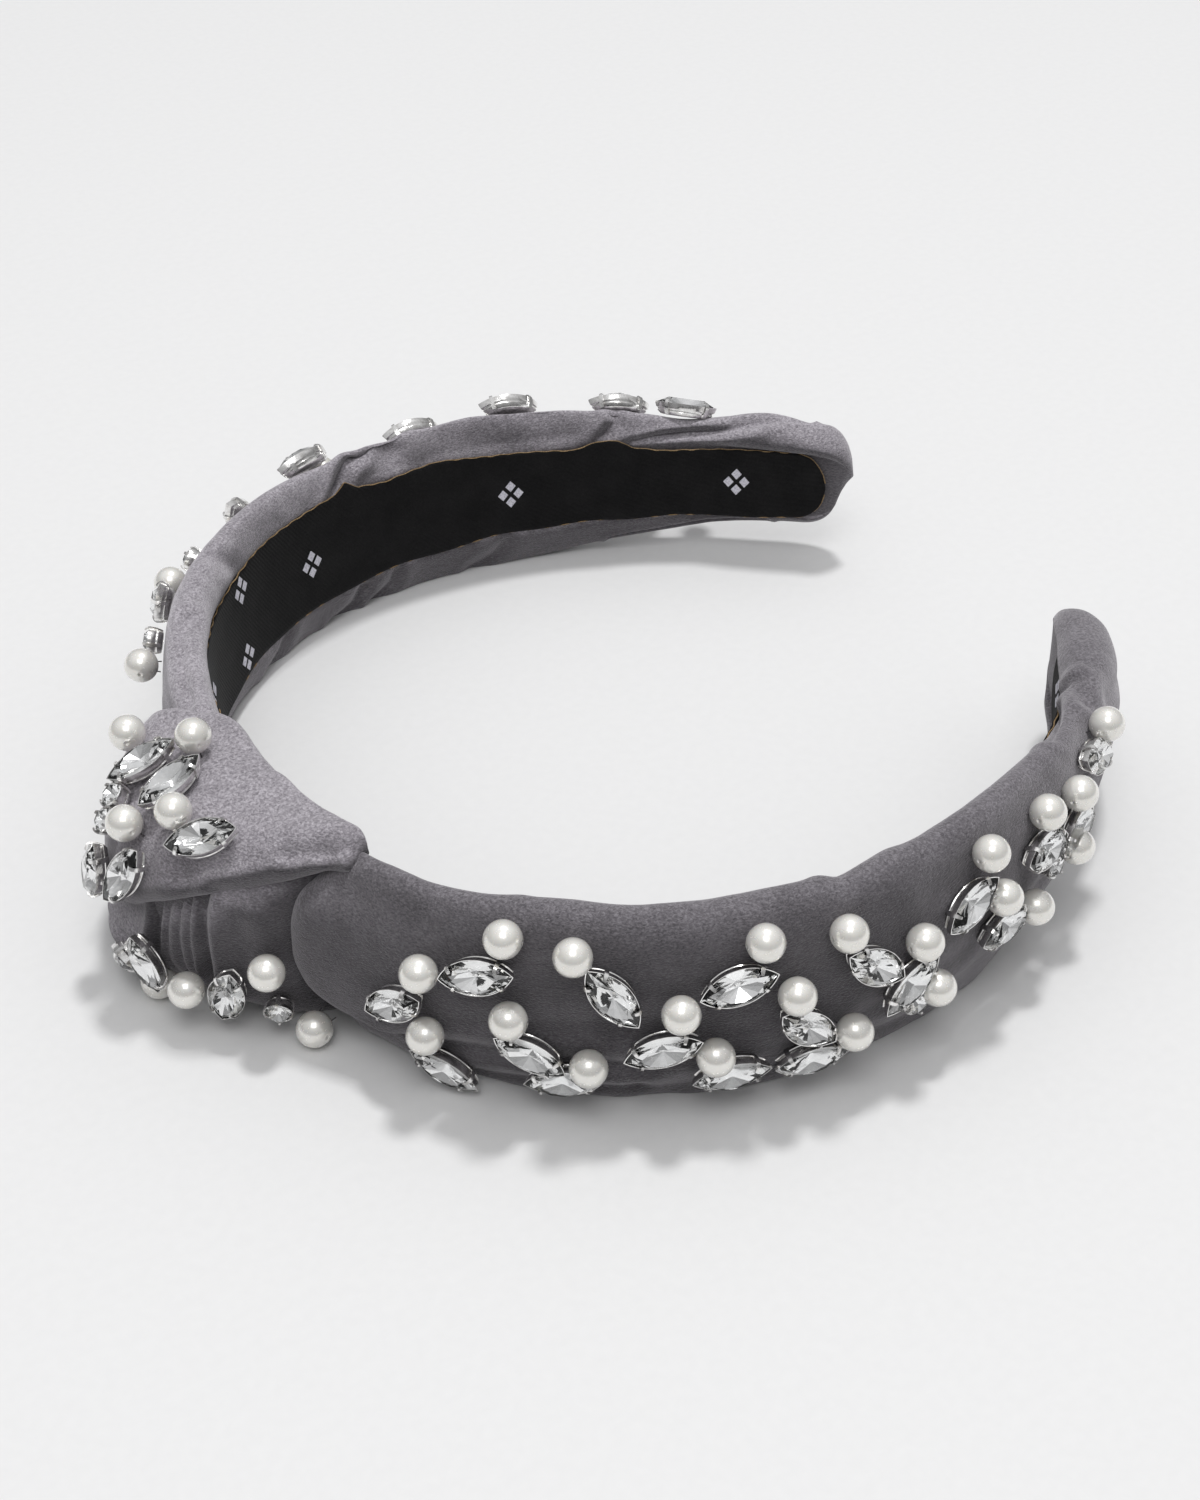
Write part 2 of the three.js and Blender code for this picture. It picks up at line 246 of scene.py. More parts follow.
def lumps(points, size, seed):
    """Smooth noise from -1 to 1 whose features are about size mm."""
    flat = points.reshape(-1, 3)
    shift = Vector((seed * 17.3, seed * -9.1, seed * 5.7))
    values = [noise.noise(Vector(p) / size + shift) for p in flat]
    return np.array(values).reshape(points.shape[:-1])


def grid_normals(points, closed):
    """Outward normals of a grid of rings: the first index runs along and the second round."""
    onward = np.gradient(points, axis=0)
    if closed:
        around = np.roll(points, -1, axis=1) - np.roll(points, 1, axis=1)
    else:
        around = np.gradient(points, axis=1)
    return unit(np.cross(around, onward))


def near_line(points, line):
    """Each point's distance to a bent line, in mm."""
    best = np.full(points.shape[:-1], 1e9)
    for a, b in zip(line[:-1], line[1:]):
        step = b - a
        share = np.clip(((points - a) @ step) / max(step @ step, 1e-9), 0, 1)
        best = np.minimum(best, np.linalg.norm(points - (a + share[..., None] * step), axis=-1))
    return best


def crease(points, surface, places, depth, width):
    """The height that a crease through (along, round) places takes off, with its soft shoulders."""
    places = np.array(places, float)
    fine = np.linspace(0, len(places) - 1, len(places) * 6)
    knots = np.arange(len(places))
    line = surface(np.interp(fine, knots, places[:, 0]), np.interp(fine, knots, places[:, 1]))
    distance = near_line(points, line)
    return -depth * hump(distance, 0, width) + 0.35 * depth * hump(distance, 2.2 * width, width)


def rumpled(points, seed, layers, surface, creases):
    """The cloth's own height: lumps of several sizes, as (size, height), and its creases."""
    height = sum(high * lumps(points, size, seed + n) for n, (size, high) in enumerate(layers))
    return height + sum(crease(points, surface, *folded) for folded in creases)


# Meshes


def make_mesh(name, points, faces, material, smooth_faces=True):
    mesh = bpy.data.meshes.new(name)
    mesh.from_pydata([tuple(p) for p in points], [], faces)
    mesh.polygons.foreach_set("use_smooth", [smooth_faces] * len(faces))
    mesh.materials.append(material)
    mesh.update()
    return mesh


def add_object(name, points, faces, material, smooth_faces=True):
    return add_copy(name, make_mesh(name, points, faces, material, smooth_faces))


def add_copy(name, mesh):
    piece = bpy.data.objects.new(name, mesh)
    bpy.context.scene.collection.objects.link(piece)
    return piece


def tube_faces(rings, count):
    """Quads of a tube of closed rings, and a fan over a middle vertex at each end."""
    faces = []
    for i in range(rings - 1):
        for j in range(count):
            k = (j + 1) % count
            faces.append((i * count + j, i * count + k, (i + 1) * count + k, (i + 1) * count + j))
    first, last = rings * count, rings * count + 1
    end = (rings - 1) * count
    for j in range(count):
        k = (j + 1) % count
        faces.append((first, k, j))
        faces.append((last, end + j, end + k))
    return faces


def add_tube(name, rings, material):
    """A closed body from a grid of closed rings."""
    middles = np.stack([rings[0].mean(axis=0), rings[-1].mean(axis=0)])
    points = np.concatenate([rings.reshape(-1, 3), middles])
    faces = tube_faces(rings.shape[0], rings.shape[1])
    return add_object(name, to_frame(points), faces, material)


def add_cord(name, path, radius, material, sides=6):
    """A thin round thread along a path."""
    path = np.asarray(path, float)
    onward = unit(np.gradient(path, axis=0))
    side = unit(np.cross(onward, (0.31, 0.17, 0.93)))  # any direction that no path takes
    up = np.cross(onward, side)
    angle = np.linspace(0, 2 * math.pi, sides, endpoint=False)
    ring = side[:, None] * np.cos(angle)[None, :, None] + up[:, None] * np.sin(angle)[None, :, None]
    return add_tube(name, path[:, None] + ring * radius, material)


def add_panel(name, base, normals, height, depth, material):
    """A puffy fold of cloth: its outside is raised by height, its inside lies depth under it."""
    rows, columns = base.shape[:2]
    outer = base + normals * height[..., None]
    inner = base - normals * depth
    rim = np.zeros((rows, columns), bool)
    rim[0], rim[-1], rim[:, 0], rim[:, -1] = True, True, True, True
    number = np.arange(rows * columns).reshape(rows, columns)
    inner_number = number.copy()
    inner_number[~rim] = rows * columns + np.arange((~rim).sum())
    points = np.concatenate([outer.reshape(-1, 3), inner[~rim]])
    outside = [number[:-1, :-1], number[:-1, 1:], number[1:, 1:], number[1:, :-1]]
    inside = [inner_number[:-1, :-1], inner_number[1:, :-1], inner_number[1:, 1:], inner_number[:-1, 1:]]
    faces = np.stack([np.stack(outside, axis=-1), np.stack(inside, axis=-1)], axis=2).reshape(-1, 4)
    return add_object(name, to_frame(points), faces.tolist(), material)


# Materials


def set_stops(ramp, stops):
    """Fills a colour ramp from (position, colour) stops. A colour may be one grey value."""
    while len(ramp.elements) < len(stops):
        ramp.elements.new(0.5)
    for element, (position, colour) in zip(ramp.elements, stops):
        element.position = position
        element.color = (*(colour if isinstance(colour, tuple) else (colour,) * 3), 1)


class Look:
    """A material being made, with short ways to add and join its nodes."""

    def __init__(self, name):
        self.material = bpy.data.materials.new(name)
        self.material.use_nodes = True
        self.tree = self.material.node_tree
        self.shader = self.tree.nodes["Principled BSDF"]

    def node(self, kind, inputs=(), **settings):
        made = self.tree.nodes.new("ShaderNode" + kind)
        for key, value in settings.items():
            setattr(made, key, value)
        for key, value in dict(inputs).items():
            if isinstance(value, bpy.types.NodeSocket):
                self.tree.links.new(value, made.inputs[key])
            else:
                made.inputs[key].default_value = value
        return made

    def set(self, **values):
        for key, value in values.items():
            socket = self.shader.inputs[key.replace("_", " ")]
            if isinstance(value, bpy.types.NodeSocket):
                self.tree.links.new(value, socket)
            else:
                socket.default_value = value

    def millimetres(self, stretch=(1, 1, 1)):
        place = self.node("TexCoord").outputs["Object"]
        scale = tuple(s / MM for s in stretch)
        return self.node("Mapping", {"Vector": place, "Scale": scale}).outputs["Vector"]

    def grain(self, where, size, detail=2.0, roughness=0.5, distortion=0.0):
        values = {"Vector": where, "Scale": 1 / size, "Detail": detail,
                  "Roughness": roughness, "Distortion": distortion}
        return self.node("TexNoise", values).outputs["Fac"]

    def ramp(self, value, *stops):
        made = self.node("ValToRGB", {"Fac": value})
        set_stops(made.color_ramp, stops)
        return made.outputs["Color"]

    def math(self, operation, a, b):
        return self.node("Math", {0: a, 1: b}, operation=operation).outputs["Value"]

    def weigh(self, *parts):
        """The sum of (value, weight) parts."""
        total = 0.0
        for value, weight in parts:
            total = self.math("ADD", total, self.math("MULTIPLY", value, weight))
        return total

    def bump(self, height, distance, strength=1.0, normal=None):
        values = {"Height": height, "Distance": distance * MM, "Strength": strength}
        if normal is not None:
            values["Normal"] = normal
        return self.node("Bump", values).outputs["Normal"]


def velvet_look(name, painted_light_gain, painted_top_light_stops):
    """Short warm-grey pile with flecks, brushed patches and a sheen. Painted light: its colour is
    multiplied by a ramp on the normal's upward part, so faces that point up are painted paler.
    """
    look = Look(name)
    fleck = look.grain(look.millimetres((1.0, 1.0, 2.2)), 0.52, 2, 0.7, 0.6)
    tuft = look.grain(look.millimetres((1, 1, 1.8)), 1.7, 2, 0.6, 0.9)
    brushed = look.grain(look.millimetres(), 10, 2, 0.5, 0.8)
    mixed = look.weigh((fleck, 0.76), (tuft, 0.08), (brushed, 0.16))
    tones = ((0.36, (0.145, 0.135, 0.149)), (0.5, (0.26, 0.243, 0.266)), (0.64, (0.42, 0.397, 0.43)))
    # The pile's tones are scaled by this copy's painted brightness: painted light, not a different cloth.
    pile = look.ramp(mixed, *((place, tuple(painted_light_gain * c for c in tone)) for place, tone in tones))
    # Painted light: the normal's upward part, stirred a little by the brushed patches, picks a multiplier
    # that paints upward faces paler.
    upward = look.node("SeparateXYZ", {"Vector": look.node("TexCoord").outputs["Normal"]}).outputs["Z"]
    painted_light_facing = look.weigh((upward, 1.0), (look.math("SUBTRACT", brushed, 0.5), 0.3))
    painted_top_light = look.ramp(painted_light_facing, *painted_top_light_stops)
    colour = look.node("MixRGB", {"Fac": 1.0, "Color1": pile, "Color2": painted_top_light},
                       blend_type="MULTIPLY").outputs["Color"]
    coarse = look.bump(tuft, 0.2, 0.4)
    normal = look.bump(fleck, 0.25, 0.8, coarse)
    look.set(Base_Color=colour, Roughness=0.95, Specular_IOR_Level=0.1, Normal=normal,
             Sheen_Weight=0.7, Sheen_Roughness=0.5, Sheen_Tint=(0.93, 0.9, 0.94, 1))
    return look.material


def lining_look():
    """Black brushed cotton with a faint twill."""
    look = Look("lining")
    where = look.millimetres()
    twill = look.node("TexWave", {"Vector": where, "Scale": 0.55, "Distortion": 1.5, "Detail": 2.0},
                      bands_direction="DIAGONAL").outputs["Fac"]
    fuzz = look.grain(where, 0.35, 3, 0.7)
    patch = look.grain(where, 6, 2)
    mixed = look.weigh((fuzz, 0.6), (patch, 0.4))
    colour = look.ramp(mixed, (0.35, (0.0035, 0.0035, 0.0038)), (0.7, (0.014, 0.0135, 0.014)))
    normal = look.bump(fuzz, 0.12, 0.6, look.bump(twill, 0.1, 0.5))
    look.set(Base_Color=colour, Roughness=0.93, Specular_IOR_Level=0.2, Normal=normal,
             Sheen_Weight=0.05, Sheen_Roughness=0.4)
    return look.material


def fibre_look(name, dark, light, size=0.3):
    """Twisted or raw thread: streaky, and rough."""
    look = Look(name)
    where = look.millimetres((1, 1, 2.5))
    strand = look.grain(where, size, 3, 0.6)
    colour = look.ramp(strand, (0.35, dark), (0.65, light))
    look.set(Base_Color=colour, Roughness=0.85, Specular_IOR_Level=0.2, Normal=look.bump(strand, 0.08))
    return look.material


def print_look():
    look = Look("print_ink")
    worn = look.grain(look.millimetres(), 0.3, 3, 0.7)
    colour = look.ramp(worn, (0.3, (0.36, 0.35, 0.42)), (0.55, (0.72, 0.71, 0.78)))
    look.set(Base_Color=colour, Roughness=0.7, Normal=look.bump(worn, 0.05))
    return look.material


def foam_look():
    look = Look("foam")
    cells = look.node("TexVoronoi", {"Vector": look.millimetres(), "Scale": 1.6}).outputs["Distance"]
    colour = look.ramp(cells, (0.0, (0.5, 0.46, 0.36)), (0.6, (0.76, 0.72, 0.62)))
    look.set(Base_Color=colour, Roughness=0.9, Normal=look.bump(cells, 0.25))
    return look.material


def plastic_look():
    look = Look("core_plastic")
    fine = look.grain(look.millimetres(), 0.8, 3)
    colour = look.ramp(fine, (0.4, (0.018, 0.018, 0.02)), (0.6, (0.03, 0.03, 0.033)))
    roughness = look.ramp(fine, (0.3, 0.35), (0.7, 0.5))
    look.set(Base_Color=colour, Roughness=roughness, Normal=look.bump(fine, 0.03))
    return look.material


def pearl_look():
    """Cream nacre over a bead: faint clouds and orange-peel under a clear coat."""
    look = Look("pearl")
    where = look.millimetres()
    cloud = look.grain(where, 2.8, 2, 0.5, 0.4)
    skin = look.grain(where, 0.5, 2)
    colour = look.ramp(cloud, (0.3, (0.88, 0.86, 0.80)), (0.7, (0.93, 0.915, 0.87)))
    roughness = look.ramp(skin, (0.3, 0.22), (0.7, 0.28))
    look.set(Base_Color=colour, Roughness=roughness, IOR=1.7, Specular_IOR_Level=0.8,
             Normal=look.bump(skin, 0.006, 0.5), Coat_Weight=1.0, Coat_Roughness=0.1, Coat_IOR=1.7,
             Metallic=0.38, Subsurface_Weight=0.08, Subsurface_Radius=(1.0, 0.8, 0.6), Subsurface_Scale=MM)
    return look.material


def glass_look():
    look = Look("crystal_glass")
    cloud = look.grain(look.millimetres(), 3.0, 2)
    colour = look.ramp(cloud, (0.3, (0.955, 0.965, 0.975)), (0.7, (1.0, 1.0, 1.0)))
    look.set(Base_Color=colour, Roughness=0.0, IOR=1.57, Transmission_Weight=1.0)
    return look.material


def foil_look():
    """The silver foil that backs each stone."""
    look = Look("stone_foil")
    spots = look.grain(look.millimetres(), 0.9, 3)
    colour = look.ramp(spots, (0.3, (0.93, 0.93, 0.925)), (0.7, (0.99, 0.99, 0.985)))
    look.set(Base_Color=colour, Metallic=1.0, Roughness=0.05, Normal=look.bump(spots, 0.01, 0.4))
    return look.material


def silver_look():
    """Plated cups: polished, with dull film and fine scratches."""
    look = Look("cup_silver")
    where = look.millimetres()
    film = look.grain(where, 1.2, 4, 0.6)
    scratch = look.grain(look.millimetres((1, 1, 6)), 0.35, 2)
    colour = look.ramp(film, (0.32, (0.60, 0.585, 0.57)), (0.6, (0.93, 0.925, 0.915)))
    roughness = look.ramp(film, (0.3, 0.24), (0.7, 0.1))
    look.set(Base_Color=colour, Metallic=1.0, Roughness=roughness, Normal=look.bump(scratch, 0.02, 0.6))
    return look.material


# Lit and shaded copies of one velvet, with painted light: each has its own painted brightness and its own
# ramp of painted top light, so the front arm's top is painted darker than the rest.
VELVET = {
    "front": velvet_look("velvet_front", 1.0, ((0.05, 0.22), (0.25, 0.34), (0.6, 0.48), (0.9, 0.58))),
    "back": velvet_look("velvet_back", 1.25, ((0.0, 0.27), (0.15, 0.42), (0.42, 0.8), (0.75, 1.0))),
    "knot": velvet_look("velvet_knot", 1.2, ((0.05, 0.2), (0.2, 0.29), (0.45, 0.66), (0.8, 1.0))),
}
LINING = lining_look()
RAW_EDGE = fibre_look("raw_edge", (0.16, 0.10, 0.045), (0.42, 0.30, 0.17))
THREAD = fibre_look("thread", (0.05, 0.047, 0.052), (0.16, 0.15, 0.16), 0.15)
PRINT = print_look()
FOAM = foam_look()
PLASTIC = plastic_look()
PEARL = pearl_look()
GLASS = glass_look()
FOIL = foil_look()
SILVER = silver_look()


# Velvet

FLOOR = -HALF_WIDTH + 0.03


def flex(piece):
    """Bakes the piece's placement into its mesh; nothing bends it."""
    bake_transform(piece)


def rest_on_floor(points):
    """Cloth that would sink lies flat on the surface."""
    points[..., 2] = np.maximum(points[..., 2], FLOOR)
    return points


def tip_round(along, end, name):
    """1 on the arm, and down to nearly 0 over the tip: a quarter circle, or squarer."""
    share = np.clip((np.abs(along) - end) / TIP_ROUNDING[name] + 0.995, 0, 1)
    return (1 - share ** TIP_SQUARENESS[name]) ** (1 / TIP_SQUARENESS[name])


def glued_share(round_):
    """1 where the velvet is under the lining, 0 on the outside and the rims."""
    inside = np.minimum(np.abs(round_ - 270), np.abs(round_ + 90))
    return 1 - smooth(inside, 38, 50)


# Where each sleeve starts, as (round, along) places on its outside. The front one comes out of the
# knot in a full rounded end, with the under-loop's tail beneath it.
FRONT_START = ((-90, 30), (-40, 30), (0, 30), (16, 28), (40, 24.5), (60, 22.5), (80, 21.5), (96, 21.5),
               (110, 23), (122, 27), (134, 33), (156, 37), (200, 37), (230, 32), (270, 30))
BACK_START = ((-90, -8), (270, -8))
# Creases: their (along, round) places, depth and width in mm.
FRONT_CREASES = (
    (((37, 146), (45, 126), (58, 114), (76, 120)), 0.9, 1.6),
    (((44, 160), (58, 146), (74, 146)), 0.7, 1.5),
    (((52, 98), (70, 88), (88, 96)), 0.35, 3.0),
    (((92, 128), (108, 112), (124, 104)), 0.5, 2.4),
    (((76, 150), (98, 140), (118, 146)), 0.6, 2.2),
    (((118, 40), (134, 34), (146, 22)), 0.5, 2.6),
    (((140, 110), (152, 92), (160, 70)), 0.5, 2.2),
    (((156, -12), (164, -32), (170, -42)), 1.1, 1.3),
    (((170, 8), (176, -14), (175, -38)), 0.7, 1.2),
    (((176, 40), (186, 62), (196, 70)), 0.5, 1.8),
    (((60, -28), (66, -38), (68, -44)), 0.5, 1.5),
    (((104, -14), (112, -30), (114, -44)), 0.8, 1.6),
    (((84, 200), (90, 214), (92, 224)), 0.8, 1.6),
    (((132, 196), (140, 210), (142, 222)), 0.7, 1.4),
)
BACK_CREASES = (
    (((-18, 16), (-26, 8), (-34, 4), (-41, -8)), 0.9, 1.5),
    (((-60, -10), (-62, -28), (-64, -42)), 0.5, 1.8),
    (((-95, -50), (-98, -38), (-101, -22), (-104, -14)), 1.5, 1.3),
    (((-105, -8), (-108, -18), (-110, -28)), 1.2, 2.4),
    (((-111, 10), (-112, -4)), 0.6, 2.0),
    (((-132, 20), (-137, 4), (-141, -12)), 0.35, 2.4),
    (((-152, -50), (-154, -40), (-156, -28), (-156, -8)), 1.1, 1.2),
    (((-159, -48), (-168, -38), (-176, -26), (-184, -4), (-193, 18)), 1.15, 0.75),
    (((-194, -30), (-199, -18), (-201, 0)), 0.3, 1.3),
    (((-199, -60), (-202, -66), (-204, -70)), 0.4, 0.6),
    (((-155, 194), (-168, 199), (-186, 204)), 1.0, 0.8),
    (((-74, 196), (-78, 210), (-80, 224)), 0.8, 1.6),
    (((-94, 190), (-99, 206), (-101, 222)), 0.9, 1.5),
    (((-104, 196), (-108, 212), (-109, 224)), 0.9, 1.4),
    (((-126, 198), (-131, 212), (-133, 222)), 0.7, 1.5),
    (((-50, 120), (-66, 104), (-84, 112)), 0.5, 2.4),
    (((-96, 80), (-112, 92), (-128, 86)), 0.4, 2.6),
    (((-140, 128), (-156, 118), (-172, 124)), 0.5, 2.2),
)
TIP_EXTRA = {"front": 3.4, "back": -1.0}  # past the CAD part's tips
TIP_SLANT = {"front": 0.4, "back": 1.4}  # how much longer the top of a tip is than its middle
TIP_LEAN = {"front": 1.0, "back": 0.0}  # how much longer the outside of a tip is than its middle
TIP_SQUARENESS = {"front": 2.6, "back": 2.8}
TIP_ROUNDING = {"front": 11, "back": 8}
TIP_FADE = {"front": 12, "back": 6}  # over how much of a tip its cloth's height fades to nothing
SLEEVE_LUMPS = ((26, 0.7), (9, 0.28), (3.5, 0.07))
SLEEVE_RINGS = 330
SLEEVE_SIDES = 168
# How far the padding stands over the plain tube, in mm.
FRONT_END_DEPTH = 6.5
FRONT_PUFF = 4.4
FRONT_RIM = 1.2
FRONT_TIP_FULLNESS = 1.7
BACK_KNOT_RIM = 1.3
BACK_TIP_RIM = 2.4
BACK_RIM_DROP = 1.0


def upper_share(angle):
    return smooth(np.cos(np.radians(angle)), 0.3, 0.95)


def back_rim_height(along, angle):
    """How far the back arm's upper rim stands over the plain tube near the tip, or sinks before it."""
    low = between(-along, (80, 100), (165, 185))
    return (BACK_TIP_RIM * smooth(-along, 168, 188) - BACK_RIM_DROP * low) * upper_share(angle)


def back_fullness(along, angle):
    by_knot = BACK_KNOT_RIM * hump(angle, -32, 18) * hump(along, -42, 16)
    return by_knot + back_rim_height(along, angle)


def front_fullness(along, angle, start, end):
    """The front arm's padding: its puffy end, which turns in under the knot, its rim and its tip."""
    outside = smooth(np.sin(np.radians(angle)), -0.2, 0.5)
    drop = np.clip(1 - (along - start) / FRONT_END_DEPTH, 0, 1)
    turned_in = FRONT_END_DEPTH * (1 - np.sqrt(1 - drop ** 2)) * outside
    puff = FRONT_PUFF * hump(along, 21, 12) * smooth(angle, 30, 72)
    rim = FRONT_RIM * upper_share(angle) * between(along, (42, 62), (140, 165))
    tip = FRONT_TIP_FULLNESS * smooth(along, 160, 188) * smooth(end - along, 0, 8)
    return puff - turned_in + rim + tip


def add_sleeve(name, side, starts, creases, seed):
    """One arm's velvet: a padded tube with gathers in its rims and a rounded closed tip."""
    round_ = np.linspace(-90, 270, SLEEVE_SIDES, endpoint=False)
    start = side * read_off(round_, starts)
    start = (start + np.roll(start, 1) + np.roll(start, -1)) / 3
    slant = TIP_SLANT[name] * np.cos(np.radians(round_)) + TIP_LEAN[name] * np.sin(np.radians(round_))
    end = ARM_LENGTH + SLEEVE_PAST_ARM + TIP_EXTRA[name] + slant
    along = side * lerp(start, end, np.linspace(0, 1, SLEEVE_RINGS)[:, None])
    angle = np.broadcast_to(round_, along.shape)
    rings = sleeve_surface(along, angle, HALF_WIDTH, tip_round(along, end, name))
    normals = grid_normals(rings, True) * side
    height = rumpled(rings, seed, SLEEVE_LUMPS, sleeve_surface, creases)
    if side > 0:
        height = height + front_fullness(along, angle, start, end)
    else:
        height = height + back_fullness(along, angle)
    free = 1 - glued_share(angle)
    tip = smooth(end - np.abs(along), 0, TIP_FADE[name])
    rings = rest_on_floor(rings + normals * (height * free * tip)[..., None])
    piece = add_tube(f"velvet_{name}", rings[:, ::side], VELVET[name])
    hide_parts(f"sleeve_{name}")
    flex(piece)


CROWN_GATHERS = 13


def add_crown_sleeve():
    """The gathered velvet that runs through the knot."""
    round_ = np.linspace(-90, 270, 96, endpoint=False)
    along = np.linspace(BACK_FLEX + 3, FRONT_FLEX - 3, 60)[:, None]
    along, angle = np.broadcast_arrays(along, round_[None, :])
    rings = sleeve_surface(along, angle, CROWN_HALF_WIDTH)
    gathers = 0.5 * np.sin(np.radians(angle) * CROWN_GATHERS + lumps(rings, 12, 5) * 2) - 0.9
    rings = rings + grid_normals(rings, True) * (gathers * (1 - glued_share(angle)))[..., None]
    piece = add_tube("velvet_crown", rings, VELVET["knot"])
    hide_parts("sleeve_crown")
    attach(piece, "crown")


# The fold's lower edge and the over-fold's upper edge, as (along, round) places.
FOLD_EDGE = ((-26, 150), (-18, 136), (-10, 117), (-2, 101), (4, 92), (10, 79), (16, 64), (21, 54),
             (25, 45), (29, 34), (33, 23))
TOP_EDGE = ((-26, 96), (-24, 52), (-21, 30), (-17, 14), (-13, 3), (-10, -22), (-7, -44), (28, -44),
            (33, -26))
OVER_FOLD_ENDS = (-26, 31.4)
OVER_FOLD_EDGE = 3.2
OVER_FOLD_BACK_SHRINK = 3.0
OVER_FOLD_RIM_SHRINK = 2.4
OVER_FOLD_CORNER = 0.5
OVER_FOLD_LUMPS = ((22, 0.8), (8, 0.35), (3.5, 0.08))
OVER_FOLD_CREASES = (
    (((13, 58), (20, 42), (28, 26)), 0.7, 2.4),
    (((17, 60), (22, 50), (27, 40)), 0.9, 1.2),
    (((24, 30), (28, 20), (31, 8)), 0.7, 1.5),
    (((-20, 60), (-10, 70), (0, 84)), 0.5, 3.2),
    (((-12, 20), (-4, 6), (6, -6)), 0.4, 2.6),
)


def panel_grid(ends, low_edge, high_edge, columns=130, rows=130):
    """The (along, round) places of a panel between two edges, whose corners are softened."""
    along = np.linspace(*ends, rows)
    kernel = np.hanning(9) / np.hanning(9).sum()
    edges = (np.pad(read_off(along, edge), 4, mode="edge") for edge in (low_edge, high_edge))
    low, high = (np.convolve(edge, kernel, mode="valid")[:, None] for edge in edges)
    return np.broadcast_arrays(along[:, None], lerp(low, high, np.linspace(0, 1, columns)))


def border_distance(points):
    border = np.concatenate([points[0], points[:, -1], points[-1, ::-1], points[::-1, 0]])
    return near_line(points, border)


def rolled(distance, radius):
    """The height of a rolled edge: level inside it, and radius lower at the border."""
    into = np.clip(1 - distance / radius, 0, 1)
    return -radius * (1 - np.sqrt(1 - into ** 2))


def add_over_fold():
    along, angle = panel_grid(OVER_FOLD_ENDS, TOP_EDGE, FOLD_EDGE)
    base = over_surface(along, angle)
    back_end = OVER_FOLD_BACK_SHRINK * smooth(-along, 14, 26) * smooth(angle, -10, 30)
    front_rim = OVER_FOLD_RIM_SHRINK * smooth(along, 8, 28) * (1 - smooth(angle, -25, 0))
    normals = grid_normals(base, False)
    base = base - normals * (back_end + front_rim)[..., None]
    height = rolled(border_distance(base), OVER_FOLD_EDGE)
    height = height + OVER_FOLD_CORNER * smooth(along, 17, 26)
    height = height + rumpled(base, 11, OVER_FOLD_LUMPS, over_surface, OVER_FOLD_CREASES)
    piece = add_panel("knot_over", base, normals, height, OVER_FOLD_EDGE, VELVET["knot"])
    finish_knot_piece(piece, "knot_over_fold")


UNDER_TOP_EDGE = ((-24, 122), (-10, 102), (-2, 86), (4, 76), (10, 64), (16, 50), (22, 42), (27, 42),
                  (32, 90), (36, 112), (43, 130))
UNDER_LOW_EDGE = ((-24, 224), (43, 224))
UNDER_ENDS = (-24, 43)
UNDER_EDGE = 2.4
UNDER_LUMPS = ((16, 0.5), (6, 0.28), (3.2, 0.08))
UNDER_ROLL = 2.4
UNDER_HOLLOW = 2.0  # along the over-fold's edge
PLEAT_DROP = 0.9
TAIL_LIFT = 0.3
PLEATED = (7.6, 14.2)  # along, where the loop is drawn into pleats
UNDER_CREASES = (
    (((7.2, 80), (7.1, 100), (6, 126), (4, 158)), 1.3, 0.9),
    (((9.3, 72), (9.3, 92), (8.8, 112)), 0.45, 0.4),
    (((11.1, 68), (11.1, 92), (10.6, 116)), 0.55, 0.4),
    (((12.7, 66), (12.8, 90), (12.3, 110)), 0.5, 0.4),
    (((14.8, 60), (15, 90), (14, 124), (12, 156)), 1.7, 0.9),
    (((19, 86), (20, 104), (21, 130)), 0.4, 1.8),
    (((-8, 106), (-2, 105), (3, 108)), 0.9, 0.8),
    (((-9, 122), (-9, 142), (-10, 160)), 1.4, 1.4),
    (((-15, 124), (-17, 150)), 1.2, 1.3),
    (((26, 134), (32, 144), (40, 152)), 0.9, 1.4),
)


def add_under_loop():
    along, angle = panel_grid(UNDER_ENDS, UNDER_TOP_EDGE, UNDER_LOW_EDGE, 150, 170)
    base = under_surface(along, angle)
    on_sleeve = sleeve_surface(along, angle) + grid_normals(base, False) * TAIL_LIFT
    base = lerp(base, on_sleeve, smooth(along, 24, 33)[..., None])
    normals = grid_normals(base, False)
    drawn_in = between(along, (PLEATED[0] - 0.8, PLEATED[0]), (PLEATED[1], PLEATED[1] + 1))
    fold_distance = near_line(base, over_surface(*np.array(FOLD_EDGE, float).T))
    height = rolled(border_distance(base), UNDER_EDGE)
    height = height + rumpled(base, 21, UNDER_LUMPS, under_surface, UNDER_CREASES)
    height = height + UNDER_ROLL * hump(angle, 114, 15) * hump(along, -2, 7)
    height = height - PLEAT_DROP * drawn_in - UNDER_HOLLOW * hump(fold_distance, 0, 4)
    piece = add_panel("knot_under", base, normals, height, UNDER_EDGE, VELVET["knot"])
    finish_knot_piece(piece, "knot_under_loop")


def finish_knot_piece(piece, node):
    lowest = (FLOOR + ORIGIN[2]) * MM
    for vertex in piece.data.vertices:
        vertex.co.z = max(vertex.co.z, lowest)
    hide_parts(node)
    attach(piece, "crown")


# Lining and inner layers

LAYERS_MIDDLE = 4.5  # along, where the two halves of each inner layer meet
LAYER_STEPS = 300
LAYERS_END = ARM_LENGTH - 4
CORE_OUT = (1.2, 2.6)
PAD_OUT = (3.0, 5.6)
RAW_EDGE_STEPS = 420
RAW_EDGE_RADIUS = 0.12
